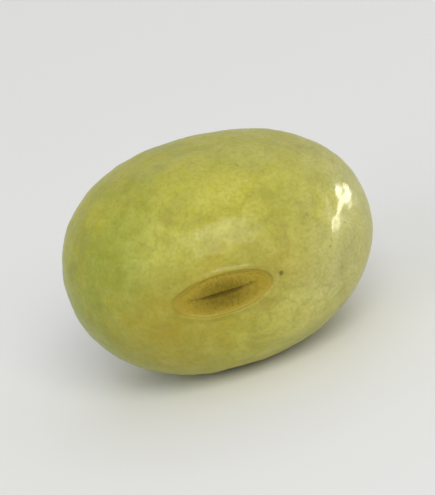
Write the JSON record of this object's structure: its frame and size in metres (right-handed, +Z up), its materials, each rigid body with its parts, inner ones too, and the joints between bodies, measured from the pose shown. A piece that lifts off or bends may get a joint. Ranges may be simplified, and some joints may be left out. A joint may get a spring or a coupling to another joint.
{
  "type": "dried soybean",
  "caption": "One whole dried green soybean: a slightly flattened oval seed lying on its flank, with its oval scar and root tip ridge on the belly.",
  "frame": {"origin": "on the surface that the bean rests on, under the middle of its bounding box", "axes": "+Z up, across the bean's thickness; X along its length, with the root tip towards +X; -Y is the belly with the hilum scar"},
  "size_m": [0.0098, 0.0086, 0.0071],
  "materials": {
    "seed_coat": "smooth satin seed coat, yellow green, tan round the scar"
  },
  "bodies": {
    "root": {"soybean": "seed_coat"}
  },
  "joints": []
}
